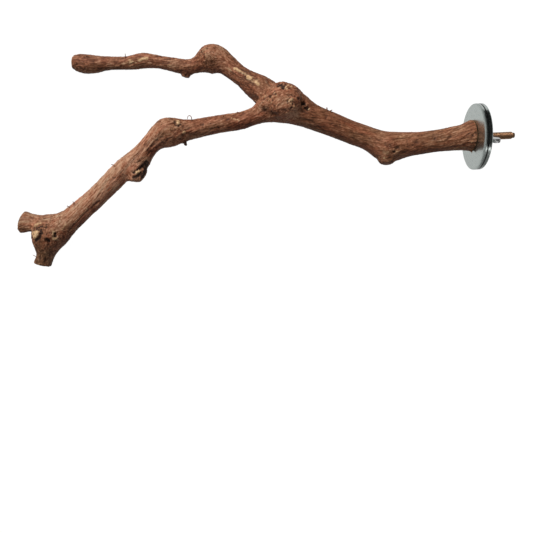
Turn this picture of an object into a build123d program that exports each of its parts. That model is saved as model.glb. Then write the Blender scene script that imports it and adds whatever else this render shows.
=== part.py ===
"""Forked natural-wood bird perch, clamped to a cage wall by a stud, two washers and a wing nut.

Millimetres. The origin is the centre of the clamp plane, where the two washers meet.
+X runs out along the stud, +Z is up, and the fork spreads in the XY plane.
"""
from build123d import *
from math import cos, radians, sin
import os

# Clamp hardware
STUD_R = 2.5
STUD_OUT = 28.2
SCREW_DEPTH = 33.0
SCREW_POINT = 7.0
SCREW_POINT_R = 0.4
PILOT_CLEARANCE = 0.05
LEAD_STEP = 0.75
LEAD_LENGTH = 1.5
LEAD_CHAMFER = 0.2

WASHER_R = 22.0
WASHER_T = 2.7
WASHER_PLAY = 0.25
WASHER_EDGE = 0.35

NUT_BASE_R = 5.5
NUT_TOP_R = 4.4
NUT_HUB_HEIGHT = 5.5
NUT_CLEARANCE = 0.06
NUT_BORE_CHAMFER = 0.3
WING_SPAN = 25.0
WING_HEIGHT = 9.5
WING_ROOT = 0.9
WING_WIDTH = 4.6
WING_T = 2.8
WING_TIP_FILLET = 2.0
WING_TIP_SHARE = 0.45
WING_EDGE = 0.5
NUT_TURN = 28.0

# Wood, from the cut end that meets the washer to the far stub, and across the fork's ends
WOOD_LENGTH = 314.5
WOOD_WIDTH = 142.9

# Stations down the middle of each limb: distance from that cut end, distance to the
# side, height, radius of the wood there
MAIN_LIMB = [
    (0, 0.5, 0, 10.3),
    (6, 0.3, 0, 9.2),
    (13, -0.4, 0, 8.2),
    (25, -1.5, -0.5, 7.6),
    (38, -2.5, -1, 7.8),
    (48, -3.2, -1.8, 9),
    (58, -3.9, -2, 10.4),
    (68, 0.9, -1.6, 8.4),
    (78, 5.2, -0.7, 7.8),
    (98, 13.4, 1.5, 8),
    (111, 19.1, 2.5, 8.9),
    (121, 24.6, 3, 11.7),
    (130, 28.3, 3.5, 13.4),
    (138, 25.5, 3.5, 10.8),
    (146, 21.5, 3.5, 7.2),
    (154, 18, 3.5, 6),
    (167, 16, 4, 5.9),
    (184, 13.5, 4, 6.3),
    (195, 12, 4.5, 7.2),
    (206.3, 10.9, 5, 9.8),
    (217, 5.3, 4, 6.7),
    (226, -3.2, 2, 6.9),
    (237, -11, 0.5, 7.1),
    (259, -28.5, -5, 6.9),
    (272, -38.5, -7, 7.4),
    (283, -46.3, -8.5, 9.1),
    (293.5, -52, -9, 12.6),
    (297.5, -61, -10, 9.2),
    (299.5, -68, -11, 6.6),
    (301.3, -74, -11.5, 5.9),
]
UPPER_ARM = [
    (128, 30, 1, 7.5),
    (136, 35.2, -2, 8.7),
    (147, 42.7, -4, 8.7),
    (154, 48.5, -5, 6.8),
    (161, 54.8, -6.5, 6.5),
    (167, 60.2, -7.5, 7.6),
    (172.5, 63.3, -8, 9.5),
    (177.5, 63.6, -8, 9.9),
    (182.5, 62.3, -8.5, 7.5),
    (188, 60.3, -9.2, 5.4),
    (196, 60.1, -10, 5),
    (205, 62.5, -11, 4.6),
    (214, 65, -12, 4.6),
    (223, 66.6, -13, 5.3),
    (235, 66, -14, 4.7),
    (250, 66.4, -14.5, 4.8),
    (265, 66.8, -15.5, 6.5),
    (272, 68.3, -16, 5.8),
    (275, 68.9, -16, 4.4),
]
END_STUB = [
    (291, -48.5, -9, 6.2),
    (305, -44.2, -10, 5.7),
    (314.5, -43.7, -10, 7),
]
ELBOW_KNOT = [
    (229.5, -7.5, 1, 6.6),
    (230.3, -15, 1, 6),
    (231, -20.5, 1, 4),
]
LOW_KNOT = [
    (58.6, -4, -2, 9),
    (58.8, -11, -1.6, 6.9),
    (58.9, -15.9, -1.2, 4.2),
]
# The burl that has grown over the fork, and its lip towards the gap between the arms
FORK_BURL = [
    (127.5, 25.5, 3, 11.6),
    (128, 26.4, 9, 12),
    (128.5, 27.2, 13.5, 11),
    (128.9, 27.8, 16.4, 9.2),
    (129.2, 28.3, 18.2, 6.6),
    (129.4, 28.6, 19.3, 3),
]
BURL_LIP = [
    (129, 27.5, 8, 9),
    (136, 27.2, 9.5, 7.4),
    (141.5, 26, 9.8, 5),
    (145, 24.8, 9.4, 2.6),
]
LIMBS = [MAIN_LIMB, UPPER_ARM, END_STUB, ELBOW_KNOT, LOW_KNOT, FORK_BURL, BURL_LIP]

WOOD_FACE_X = -WASHER_T
STUD_TIP_X = WOOD_FACE_X + STUD_OUT
SCREW_TIP_X = WOOD_FACE_X - SCREW_DEPTH
LEAD_R = STUD_R - LEAD_STEP
LENGTH_STRETCH = WOOD_LENGTH / END_STUB[-1][0]
WIDTH_STRETCH = WOOD_WIDTH / (UPPER_ARM[-1][1] - MAIN_LIMB[-1][1])


def wood_point(station):
    """Place of a station in the part's frame."""
    along, side, height = station[:3]
    return Vector(WOOD_FACE_X - along * LENGTH_STRETCH, side * WIDTH_STRETCH, height)


def cross_planes(stations):
    """One plane across the limb at each station, with the wood's radius there."""
    middles = [wood_point(station) for station in stations]
    planes = []
    for index, station in enumerate(stations):
        before = middles[max(index - 1, 0)]
        after = middles[min(index + 1, len(middles) - 1)]
        heading = (after - before).normalized()
        if station is MAIN_LIMB[0]:
            heading = Vector(-1, 0, 0)
        under = heading.cross(Vector(0, 0, 1).cross(heading)) * -1
        planes.append((Plane(middles[index], x_dir=under, z_dir=heading), station[3]))
    return planes


with BuildPart() as branch:
    for limb in LIMBS:
        for plane, radius in cross_planes(limb):
            with BuildSketch(plane):
                Circle(radius)
        loft()
    # Pilot hole, cut by the screw end's own outline
    with BuildSketch():
        with BuildLine():
            Polyline(
                (WOOD_FACE_X, 0),
                (WOOD_FACE_X, STUD_R + PILOT_CLEARANCE),
                (SCREW_TIP_X + SCREW_POINT, STUD_R + PILOT_CLEARANCE),
                (SCREW_TIP_X - PILOT_CLEARANCE, SCREW_POINT_R + PILOT_CLEARANCE),
                (SCREW_TIP_X - PILOT_CLEARANCE, 0),
                close=True,
            )
        make_face()
    revolve(axis=Axis.X, mode=Mode.SUBTRACT)
branch.part.label = "branch"

with BuildPart() as hanger_bolt:
    with BuildSketch():
        with BuildLine():
            Polyline(
                (SCREW_TIP_X, 0),
                (SCREW_TIP_X, SCREW_POINT_R),
                (SCREW_TIP_X + SCREW_POINT, STUD_R),
                (STUD_TIP_X - LEAD_LENGTH, STUD_R),
                (STUD_TIP_X - LEAD_LENGTH, LEAD_R),
                (STUD_TIP_X - LEAD_CHAMFER, LEAD_R),
                (STUD_TIP_X, LEAD_R - LEAD_CHAMFER),
                (STUD_TIP_X, 0),
                close=True,
            )
        make_face()
    revolve(axis=Axis.X)
hanger_bolt.part.label = "hanger_bolt"

with BuildPart() as inner_washer:
    with BuildSketch(Plane.YZ.offset(WOOD_FACE_X)):
        Circle(WASHER_R)
        Circle(STUD_R + WASHER_PLAY, mode=Mode.SUBTRACT)
    extrude(amount=WASHER_T)
    fillet(inner_washer.edges().filter_by(GeomType.CIRCLE).group_by(SortBy.RADIUS)[-1], WASHER_EDGE)
inner_washer.part.label = "inner_washer"

with BuildPart() as outer_washer:
    with BuildSketch(Plane.YZ):
        Circle(WASHER_R)
        Circle(STUD_R + WASHER_PLAY, mode=Mode.SUBTRACT)
    extrude(amount=WASHER_T)
    fillet(outer_washer.edges().filter_by(GeomType.CIRCLE).group_by(SortBy.RADIUS)[-1], WASHER_EDGE)
outer_washer.part.label = "outer_washer"

# The wings lie in a plane through the stud's axis; the near one leans NUT_TURN off straight up
wing_up = Vector(0, -sin(radians(NUT_TURN)), cos(radians(NUT_TURN)))
wing_plane = Plane((WASHER_T, 0, 0), x_dir=wing_up, z_dir=wing_up.cross(Vector(1, 0, 0)))
with BuildPart() as wing_nut:
    with BuildSketch(wing_plane):
        with BuildLine():
            Polyline(
                (NUT_TOP_R / 2, WING_ROOT),
                (NUT_BASE_R, WING_ROOT),
                (WING_SPAN / 2, WING_HEIGHT - WING_WIDTH),
                (WING_SPAN / 2, WING_HEIGHT),
                (WING_SPAN / 2 - WING_WIDTH, WING_HEIGHT),
                (NUT_TOP_R, NUT_HUB_HEIGHT - WING_ROOT),
                (NUT_TOP_R / 2, NUT_HUB_HEIGHT - WING_ROOT),
                close=True,
            )
        wing_outline = make_face()
        tip_corners = wing_outline.vertices().group_by(Axis.Y)[-1]
        fillet(tip_corners, min(WING_TIP_FILLET, WING_TIP_SHARE * WING_WIDTH))
        mirror(about=Plane.YZ)
    extrude(amount=WING_T / 2, both=True)
    fillet(wing_nut.edges(), WING_EDGE)
    with BuildSketch(wing_plane):
        with BuildLine():
            Polyline(
                (0, 0), (NUT_BASE_R, 0), (NUT_TOP_R, NUT_HUB_HEIGHT), (0, NUT_HUB_HEIGHT), close=True
            )
        make_face()
    revolve(axis=Axis.X)
    with BuildSketch(Plane.YZ.offset(WASHER_T)):
        Circle(STUD_R + NUT_CLEARANCE)
    extrude(amount=WING_HEIGHT, mode=Mode.SUBTRACT)
    chamfer(wing_nut.edges(Select.LAST).filter_by(GeomType.CIRCLE), NUT_BORE_CHAMFER)
wing_nut.part.label = "wing_nut"

os.makedirs("parts", exist_ok=True)
export_step(branch.part, "parts/branch.step")
export_step(hanger_bolt.part, "parts/hanger_bolt.step")
export_step(inner_washer.part, "parts/inner_washer.step")
export_step(outer_washer.part, "parts/outer_washer.step")
export_step(wing_nut.part, "parts/wing_nut.step")
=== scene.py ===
import math

import bmesh
import bpy
import numpy as np
from mathutils import Matrix, Vector, kdtree, noise


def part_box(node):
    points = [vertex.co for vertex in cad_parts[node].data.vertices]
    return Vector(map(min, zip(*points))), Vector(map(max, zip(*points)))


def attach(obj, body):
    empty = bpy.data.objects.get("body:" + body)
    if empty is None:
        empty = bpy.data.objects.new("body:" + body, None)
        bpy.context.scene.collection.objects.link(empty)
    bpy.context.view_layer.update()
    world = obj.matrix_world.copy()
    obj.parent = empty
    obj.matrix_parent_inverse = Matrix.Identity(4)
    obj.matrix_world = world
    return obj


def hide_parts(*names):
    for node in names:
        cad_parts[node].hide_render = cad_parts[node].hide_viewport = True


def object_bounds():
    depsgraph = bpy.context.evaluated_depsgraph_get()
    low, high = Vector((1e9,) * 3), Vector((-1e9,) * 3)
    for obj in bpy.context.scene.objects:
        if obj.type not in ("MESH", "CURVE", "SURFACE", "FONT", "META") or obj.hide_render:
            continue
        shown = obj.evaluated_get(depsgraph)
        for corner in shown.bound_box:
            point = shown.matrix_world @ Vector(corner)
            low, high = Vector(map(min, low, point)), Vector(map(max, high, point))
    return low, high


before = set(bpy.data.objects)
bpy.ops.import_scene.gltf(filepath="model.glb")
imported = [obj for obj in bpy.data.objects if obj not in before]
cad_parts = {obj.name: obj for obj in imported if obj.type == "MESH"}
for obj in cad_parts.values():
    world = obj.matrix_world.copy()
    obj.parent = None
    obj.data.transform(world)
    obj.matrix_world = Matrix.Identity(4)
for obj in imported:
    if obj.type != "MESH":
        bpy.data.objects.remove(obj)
cad_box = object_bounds()

# Vine branch: a forked length of grapevine, stripped of its bark, dried, and sawn off at four
# ends. The CAD wood is remeshed into quads fine enough to carry its fibres, and furrows, burls,
# chips and pits are worked into that mesh. All lengths in this section are millimetres.
MM = 0.001
WOOD_QUAD = 0.62
CREASE_ROUNDS = 36
EVEN_ROUNDS = 3
BORE_REACH = 3.4
BORE_DEPTH = 37.0

# Snags that stand out of the wood, joined on before the remesh: root, tip, radius at each
SNAGS = [
    ((-196.2, 60.0, -10.5), (-198, 53.0, -11.5), 3.6, 2.8),
    ((-199.4, 6.5, 5.0), (-197.0, 1.3, 5.6), 2.0, 0.9),
    ((-133.4, 36.4, 8.0), (-133.6, 39.4, 10.2), 3.8, 2.6),
    ((-304.0, -67.0, -8.0), (-306, -70.7, -7.6), 2.6, 1.2),
    ((-183.4, 64.0, -4.0), (-185.9, 67.2, -0.8), 3.2, 1.6),
    ((-194.6, 57.5, -10.5), (-193.8, 54.2, -11), 1.2, 1.1),
    ((-4.4, -8.4, 0.5), (-3.8, -11.8, 1), 1.7, 0.6),
]

# Lines that the grain follows down the middle of each limb
GRAIN_LINES = [
    [
        (-0.4, 0, 0), (-30.4, -2, -1), (-60.4, -4, -2), (-80.4, 4, -1), (-113.4, 19, 2.5),
        (-132.4, 27, 3.5), (-152.4, 20, 3.5), (-186.4, 13.5, 4), (-208.4, 10.5, 5), (-228.4, -3, 2),
        (-261.4, -28.5, -5), (-285.4, -45.5, -8.5), (-297.4, -54, -9.5), (-304.4, -76, -11.5),
    ],
    [
        (-118.4, 22, 3), (-138.4, 35, -2), (-156.4, 48, -5), (-170.4, 60, -7.5), (-180.4, 64, -8),
        (-191.4, 60.6, -9), (-207.4, 62.5, -11), (-225.4, 66.5, -13), (-252.4, 66.4, -14.5),
        (-279.4, 69, -16),
    ],
    [(-286.4, -50, -9), (-307.4, -44.2, -10), (-319.4, -43.7, -10)],
]
LINE_STEP = 0.5
LIMB_SHARPNESS = 8
LIMBS_APART = 500
TWIST = 0.018
WANDER = 1.3
WANDER_LENGTH = 16.0
CURL = 4.0
CURL_SIZE = 7.0

# Broad swellings and hollows of the limbs: middle, reach, height
SWELLS = [
    # fork burl: hollows round it, and the gap between the arms
    ((-141.9, 36, 10), 4.5, -1.5), ((-146.4, 31.5, 10), 4.5, -1.5), ((-138.9, 40, 8), 4, -1.0),
    ((-151.4, 33, -2.6), 5, -1.2), ((-150.2, 29.7, 2), 4, -2.6), ((-152, 26.5, 4), 4.5, -1.4),
    ((-138.1, 42.2, 4), 3.5, -1.8), ((-139.6, 44.2, 1), 4, -1.5),
    ((-117.9, 23, 13.4), 3.0, -1.6), ((-122.9, 34, 12), 5, 1.0), ((-124.6, 24.6, 14), 4.5, 1.5),
    ((-141.4, 18.5, 12), 4, -0.8), ((-132.4, 15.5, 10.3), 4.5, -0.8), ((-123.4, 14.5, 10), 4.5, -0.6),
    # end of the trunk, flared at its top edge
    ((-4.5, 11, 2), 4, 0.9), ((-12, 9, 3), 4, -0.5), ((-4, -10, 1), 5, -0.5),
    # end burl and its stub
    ((-316.4, -50, -10), 5, 0.8), ((-310.5, -52.5, -9), 4, 0.6), ((-307.2, -65.6, -10), 4, -3.0),
    ((-314.5, -37.5, -10), 4, 1.2), ((-298.6, -40.2, -8), 5, 0.8),
    # upper elbow, sunk below its ridge
    ((-181, 57.5, -1), 5, -1.0),
    # knot under the elbow
    ((-225, -9.5, 1), 4, 1.5), ((-227.5, -16, 1), 4, 1.4),
]

# Knots that have grown over, and lost their edges: middle, reach
ROUNDED = [((-233.7, -19, 1), 7.0), ((-61.6, -15, -1.2), 6.0)]
ROUND_ROUNDS = 26

# The lower arm is deeply fluted below its elbow
FLUTED_MIDDLE = (-235.4, -12, 4)
FLUTED_REACH = 34.0

# The trunk is worn smoother than the arms
CALM_MIDDLE = (-75, 3, 3)
CALM_REACH = 60.0

# Burls, where the fibres curl and the surface is knobbly: middle, reach, height of the knobs
BURLS = [
    ((-130.4, 30, 10), 15, 1.0),
    ((-297.4, -54, -4), 13, 0.5),
    ((-204.4, 11, 9), 10, 0.6),
    ((-231.4, -14, 4), 8, 0.9),
    ((-60.4, -9, 2), 9, 0.6),
    ((-178.4, 65, -3), 9, 0.5),
    ((-268.4, 67, -13), 6, 0.4),
]

# Where the wood is painted paler or darker, redder or greyer: middle, reach, change of tone,
# change of redness. Some are the wood's own tone; most add painted shade, darker and redder, on sides
# that face away from the light, and painted light on spots that shade left too dark.
TONES_AND_PAINTED_LIGHT = [
    # trunk, painted shade along its shaded lower edge, and its sawn end
    ((-90, 8, 6), 30, -0.15, -0.06), ((-30, 0, 6), 25, -0.06, -0.15), ((-4, 3, 8), 6, -0.15, -0.1),
    ((-115, 20, 10), 7, -0.12, 0.0), ((-106, 19, 9), 7, -0.08, -0.1), ((-68, -7, 4), 5, 0.15, 0.0),
    ((-49, -9, 0), 6, -0.2, 0.15), ((-39, -9, 0), 6, -0.22, 0.15), ((-30, -9, 0), 6, -0.25, 0.2),
    # fork burl and the roots of both arms: painted light on the swirl's shaded side and in the gap
    # between the arms, painted shade on the arms' shaded sides
    ((-132, 29, 19), 11, 0.1, 0.0), ((-147, 25, 14), 7, 0.1, 0.0), ((-125, 19, 13), 6, 0.7, 0.0),
    ((-152.5, 34, 0), 5, 0.4, 0.0), ((-142.5, 41, 4), 6, 0.18, -0.12), ((-152.7, 23, 6), 6, 0.2, -0.1),
    ((-143.4, 22, 10), 6, 0.15, 0.05), ((-134.3, 19.5, 12), 5, -0.15, 0.1), ((-152, 43, 4), 6, -0.15, 0.0),
    ((-162, 12, 7), 6, -0.25, 0.2), ((-153, 12, 6), 6, -0.25, 0.3),
    # lower arm and its elbow: the forearm painted paler, partly its own tone and partly painted light on
    # its lit side, and painted shade on its shaded side below the elbow
    ((-180, 16, 8), 24, -0.04, 0.0), ((-190, 14, 8), 7, -0.14, 0.05), ((-181, 13.6, 9), 6, 0.12, 0.0),
    ((-208, 13, 12), 14, 0.04, 0.0), ((-200.7, 5, 6), 5, -0.2, 0.1), ((-245, -18, 2), 40, 0.42, 0.0),
    ((-219, 7, 8), 6, 0.15, 0.0), ((-219.5, -2.5, 6), 5, -0.4, 0.35), ((-231, -10, 6), 5, 0.2, 0.15),
    ((-241, -20, -1), 5, -0.4, 0.3), ((-251, -29, -4), 5, -0.4, 0.3), ((-261, -39, -6), 5, -0.3, 0.2),
    ((-240, -9, 6), 6, -0.1, 0.0), ((-272, -36, 0), 7, 0.22, 0.0), ((-282, -45, -2), 7, 0.15, -0.05),
    ((-273, -47, -6), 5, -0.35, 0.25), ((-283, -56, -6), 6, -0.3, 0.1),
    # end burl and its stub: painted shade on the stub and on the burl's lower side
    ((-304, -68, -6), 10, -0.25, -0.5), ((-292, -44, 0), 7, 0.14, -0.15), ((-311, -43, -6), 8, 0.25, -0.15),
    ((-302, -56, -2), 7, -0.35, 0.0), ((-300, -40, -2), 5, -0.1, -0.1),
    # upper arm and its elbow: painted shade in the hollow under the elbow
    ((-155, 48, 2), 12, -0.2, 0.0), ((-181, 57, -1), 5, -0.2, 0.0), ((-176, 68, 0), 9, 0.2, -0.05),
    ((-170, 63, 1), 6, 0.16, -0.1), ((-262, 67, -10), 18, -0.12, -0.05),
]

# The camera stands where the photograph was taken from, straight above and turned a little
CAMERA_PLACE = np.array([-146.9, -82.0, 387.0])
CAMERA_ROLL = math.radians(-2.5)
CAMERA_LENS = 38.36
CAMERA_SENSOR = 36.0
PHOTO_SIZE = 533

# Marks on the side of the wood that the photograph shows: kind, reach, depth (less than 0 stands
# out), and then the pixels of the photograph that it runs through
MARKS = [
    # fork burl: the cavity under its top, painted dark as shade, and the crumbs beside it
    ("stain", 2.1, 1.8, (277.6, 84), (280.4, 83), (283, 83.6), (284, 85.4)),
    ("pit", 0.9, 1.0, (277.2, 82.6)),
    ("pit", 0.9, 1.2, (283.4, 85.6)),
    ("tan", 1.0, -0.6, (274.6, 86), (276.6, 88)),
    ("scar", 0.8, -0.5, (279.6, 86.6)),
    ("fresh", 0.7, -0.5, (285.4, 85)),
    ("fresh", 0.6, -0.5, (288.4, 84.6)),
    ("chip", 0.8, -0.5, (291.6, 86.2)),
    ("chip", 0.7, -0.5, (287, 88.2)),
    ("pit", 0.7, 0.9, (286.8, 86.4)),
    ("pit", 0.7, 0.8, (289.8, 86.6)),
    ("pit", 0.6, 0.7, (285, 88.6)),
    ("pit", 0.6, 0.7, (288.8, 89.6)),
    # its ridge down to the gap between the arms
    ("crack", 1.1, 1.6, (259.5, 99.6), (263.5, 97.6), (268, 95.8), (271.2, 93.6), (274, 90)),
    ("pit", 1.0, 1.2, (269.6, 95.6)),
    ("pit", 0.8, 0.9, (274.8, 93.6)),
    ("pit", 0.8, 0.8, (264.6, 97)),
    ("scar", 0.8, -0.6, (262, 96.8), (265, 95)),
    ("chip", 0.8, -0.7, (273.6, 92)),
    ("scar", 0.8, -0.6, (275.6, 95.4)),
    ("tan", 1.0, -0.7, (269.6, 98.6), (271.6, 97.4)),
    ("scar", 0.7, -0.6, (268.4, 101.4), (270.6, 103)),
    ("pit", 0.7, 0.8, (271.8, 100.4)),
    ("pit", 0.7, 0.7, (266.4, 100.6)),
    ("pit", 0.6, 0.6, (261.6, 103)),
    ("crack", 0.8, 0.9, (270.6, 104.4), (274, 106), (277.6, 105)),
    # the swirl, the fold round it and the hole beside it, with painted shadow in the fold, in the hole
    # and below it
    ("lump", 1.8, -1.4, (292, 96.6), (296.4, 98.6), (299.4, 102.4), (300.4, 105.6)),
    ("crack", 1.0, 1.6, (288.8, 94.6), (292.6, 94.8), (296.6, 96.8), (300.6, 100.8), (302.6, 104.4)),
    ("stain", 0.5, 0.8, (297.6, 97.6), (300.8, 100.8), (303.2, 104.4)),
    ("stain", 0.5, 1.0, (290.2, 98.4), (288, 99.6), (287, 102), (288, 104.2)),
    ("chip", 0.8, -0.8, (289.6, 101), (291, 99.8), (292.8, 100.6)),
    ("pit", 0.6, 1.0, (290.8, 102.2)),
    ("pit", 0.6, 0.9, (293, 102)),
    ("chip", 0.7, -0.6, (291.6, 103.8)),
    ("pit", 0.7, 0.8, (293.6, 104.4)),
    ("scar", 0.7, -0.5, (289.4, 105.4)),
    ("stain", 1.3, 2.2, (304.4, 104.8), (306.6, 106.4), (308.4, 107.8)),
    ("fresh", 0.5, -0.3, (310, 108)),
    ("rot", 1.5, 0.7, (301.4, 108.6), (304, 111)),
    ("tan", 0.9, -0.8, (290, 107.4)),
    ("tan", 0.9, -0.8, (294.4, 107)),
    ("pit", 0.7, 0.9, (292.4, 108.4)),
    ("pit", 0.7, 0.8, (296.4, 106)),
    # the hollow under it, its shadow painted on
    ("rot", 1.6, 0.8, (264.4, 111), (268, 113), (273.6, 114.4), (280, 113.4), (285, 111.6)),
    ("crack", 0.8, 0.5, (298, 118.7), (312.6, 122.5), (320, 128.9)),
    # trunk
    ("crack", 0.68, 0.52, (324.5, 111.4), (328, 110.6)),
    ("rot", 1.1, 0.4, (324.6, 114), (326.6, 117.5)),
    ("crack", 0.77, 0.45, (330, 125.5), (332.6, 123.6), (336.5, 123.6), (338, 126.6)),
    ("crack", 0.77, 0.45, (335, 127.6), (339.4, 128.6), (340.5, 125.6)),
    ("crack", 0.68, 0.33, (346, 120), (362, 125.5), (376, 131.5)),
    ("crack", 0.77, 0.39, (356, 133), (368, 138.5), (380, 140), (398, 138)),
    ("rot", 1.4, 0.5, (386, 143.5), (391, 147), (399, 148)),
    ("crack", 0.77, 0.52, (385, 146), (392, 147.6), (400, 149)),
    ("tan", 2.2, 0.0, (386.4, 154.4), (383.5, 152)),
    ("scar", 0.9, -0.2, (383.6, 159)),
    ("pit", 1.1, 1.3, (395, 152.8)),
    ("scar", 0.7, -0.3, (397.4, 152.4)),
    ("scar", 0.8, 0.1, (400.4, 135.6)),
    ("crack", 0.68, 0.59, (407.6, 139), (408, 143.3), (408.6, 147)),
    ("rot", 1.2, 0.4, (414, 142), (421, 143), (426, 144.5)),
    ("pit", 0.9, 0.8, (434.5, 139)),
    ("crack", 0.68, 0.39, (432, 136.5), (445, 137.5), (455, 138)),
    ("crack", 0.68, 0.39, (430, 141), (437, 141.4), (441, 140)),
    ("crack", 0.68, 0.39, (466, 136), (470, 131.5), (472, 130)),
    ("pit", 0.8, 0.8, (473, 135.5)),
    ("scar", 0.8, -0.4, (471.4, 142.6)),
    ("crack", 0.77, 0.65, (473.2, 143.4), (477, 144)),
    ("rot", 1.0, 0.2, (475.4, 126), (476.6, 132), (476.6, 140), (475, 146)),
    # lower arm and its elbow, with painted shadow round the elbow's chip and along the knot's shaded side
    ("fresh", 1.0, -0.6, (178, 120.8), (178.2, 122.6)),
    ("stain", 0.7, 0.9, (175.4, 121), (175.4, 124.4), (179.4, 125.4), (181, 123)),
    ("crack", 0.68, 0.59, (182, 125.5), (186, 126.3), (190, 127.4)),
    ("scar", 0.5, -0.2, (169.2, 128.4)),
    ("scar", 0.5, -0.2, (172, 128.4)),
    ("scar", 0.5, -0.2, (174.8, 128)),
    ("chip", 0.5, -0.3, (177.8, 128.4)),
    ("pit", 0.5, 0.5, (171.6, 130)),
    ("pit", 0.5, 0.5, (175.6, 130.4)),
    ("fresh", 0.8, -0.5, (184.4, 132.8)),
    ("crack", 0.85, 0.65, (181.6, 131.6), (186.6, 131), (189.6, 130)),
    ("rot", 1.4, 0.6, (184, 135.5), (190, 134.5)),
    ("pit", 1.0, 0.9, (201.4, 124.6), (203.4, 124.6)),
    ("crack", 0.68, 0.39, (199, 131), (210, 129.6), (220, 128.4)),
    ("fresh", 0.45, -0.3, (232, 117.2), (236, 119.2), (240, 120.6)),
    ("crack", 0.94, 0.78, (171, 138.5), (164, 141.5), (156, 148), (149, 154.5)),
    ("rot", 1.5, 0.7, (161, 137.5), (155.5, 143.5), (149, 150.5)),
    ("crack", 0.85, 0.65, (168, 141), (160, 146.5), (152.5, 153)),
    ("crack", 0.68, 0.39, (161, 131.9), (149, 143), (139, 154), (128, 166.2), (109.4, 184.3)),
    ("stain", 1.9, 0.6, (148.6, 164), (147.4, 168), (145.6, 172.6), (143, 177)),
    ("stain", 1.1, 1.0, (147, 162), (143.6, 166), (140, 169), (134, 173.6)),
    ("stain", 1.2, 0.8, (141.4, 173), (138.6, 177), (134, 179)),
    ("tan", 0.7, -0.7, (148, 163.6)),
    ("tan", 0.7, -0.6, (143.4, 168.6)),
    ("fresh", 1.0, -0.7, (137.2, 172.6), (139.6, 172)),
    ("stain", 1.6, 0.0, (184.6, 143.6), (186.4, 145)),
    ("rot", 1.2, 0.5, (114.7, 179.1)),
    # end burl, with painted shadow round its chip and in its holes
    ("crack", 0.94, 0.91, (31.4, 228), (36, 226.6), (40.8, 224.4)),
    ("chip", 1.0, -0.7, (34.6, 224.2), (37.4, 223), (40, 222.2)),
    ("tan", 1.2, 0.0, (33, 226), (36.6, 225)),
    ("stain", 0.7, 0.8, (31.4, 229), (33, 227.4), (36.4, 227.4), (39.4, 225.8), (41.4, 225)),
    ("pit", 0.9, 1.0, (41.8, 225.4)),
    ("pit", 0.9, 1.2, (46.2, 223.8), (46, 226.2)),
    ("fresh", 1.4, -0.5, (32.2, 232.8), (36, 232.2), (33.8, 237.4)),
    ("tan", 0.6, 0.2, (33.6, 231.4), (33.8, 234)),
    ("stain", 0.8, 1.2, (30.4, 231.2), (33.6, 229.8), (37.4, 229.2)),
    ("stain", 1.0, 1.3, (40, 229.6), (40.4, 233.6), (38.6, 238), (34.6, 242)),
    ("stain", 0.6, 0.7, (30.4, 232), (31.2, 237), (32.4, 240)),
    ("fresh", 0.8, -0.4, (54, 232.8), (54.4, 234.4)),
    ("crack", 0.68, 0.59, (46.4, 235.6), (49, 233.4), (52, 233.6)),
    ("stain", 1.0, 1.6, (55.8, 234.4), (56.2, 236.8)),
    ("chip", 1.1, -0.4, (54.4, 239), (56.6, 238.6)),
    ("stain", 1.3, 1.7, (47.6, 240), (49.2, 242.6)),
    ("tan", 1.2, 0.0, (52, 229.3)),
    ("crack", 0.77, 0.59, (37.4, 257), (41, 259)),
    ("scar", 0.7, -0.3, (87.6, 209.7), (75.5, 223.2)),
    ("scar", 0.7, -0.2, (66.5, 224), (62.5, 230)),
    ("crack", 0.94, 0.72, (99.6, 201.7), (86, 213), (76, 224), (68.8, 232)),
    ("crack", 0.77, 0.52, (84, 221), (76, 230), (70, 236)),
    # upper arm
    ("rot", 1.2, 0.5, (90.5, 56), (93, 56.6)),
    ("pit", 0.6, 0.6, (76.2, 65.4)),
    ("chip", 1.0, -0.2, (129.4, 59.6), (130.6, 62)),
    ("scar", 0.9, 0.0, (131, 62), (134.6, 63)),
    ("tan", 0.9, 0.0, (122.5, 64.5), (129, 62.6)),
    ("tan", 1.2, 0.0, (129.5, 65.4), (131.5, 65)),
    ("fresh", 0.9, -0.3, (138.6, 60.4), (142.5, 59.6), (146.4, 59)),
    ("crack", 0.59, 0.39, (114, 65), (120, 64.4)),
    ("scar", 0.7, -0.2, (167.5, 66.6), (169.5, 66.2)),
    ("chip", 0.5, -0.2, (175.8, 59)),
    ("rot", 1.0, 0.6, (201.2, 51.4), (206.6, 47.4)),
    ("scar", 0.8, -0.3, (202.6, 50.2), (205, 48.4)),
    ("pit", 0.8, 0.9, (203.4, 53.8)),
    ("scar", 0.7, -0.3, (204.6, 54.6)),
    ("crack", 0.77, 0.65, (209.6, 51.6), (213, 51.2), (217, 53), (222, 54.4)),
    ("pit", 0.9, 1.0, (234.6, 58.6), (236, 60)),
    ("fresh", 0.8, -0.2, (234.6, 67.6), (238.6, 70)),
    ("scar", 1.1, -0.2, (237, 69.6), (241.5, 71.6), (245.6, 73.6)),
    ("fresh", 1.1, -0.2, (247, 75.6), (249.6, 77.4)),
    ("scar", 0.9, -0.2, (248, 78.6), (252, 76.6)),
    ("fresh", 0.9, -0.2, (256, 81.2), (257.4, 84)),
    ("tan", 1.2, 0.0, (258.5, 79.5), (254, 79.5)),
    ("crack", 0.68, 0.52, (245, 85), (252, 92), (256, 97)),
    ("pit", 1.1, 1.2, (186.5, 76.4)),
]
PIXEL_STEP = 1.0
PIXEL_REACH = 1.0
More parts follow.
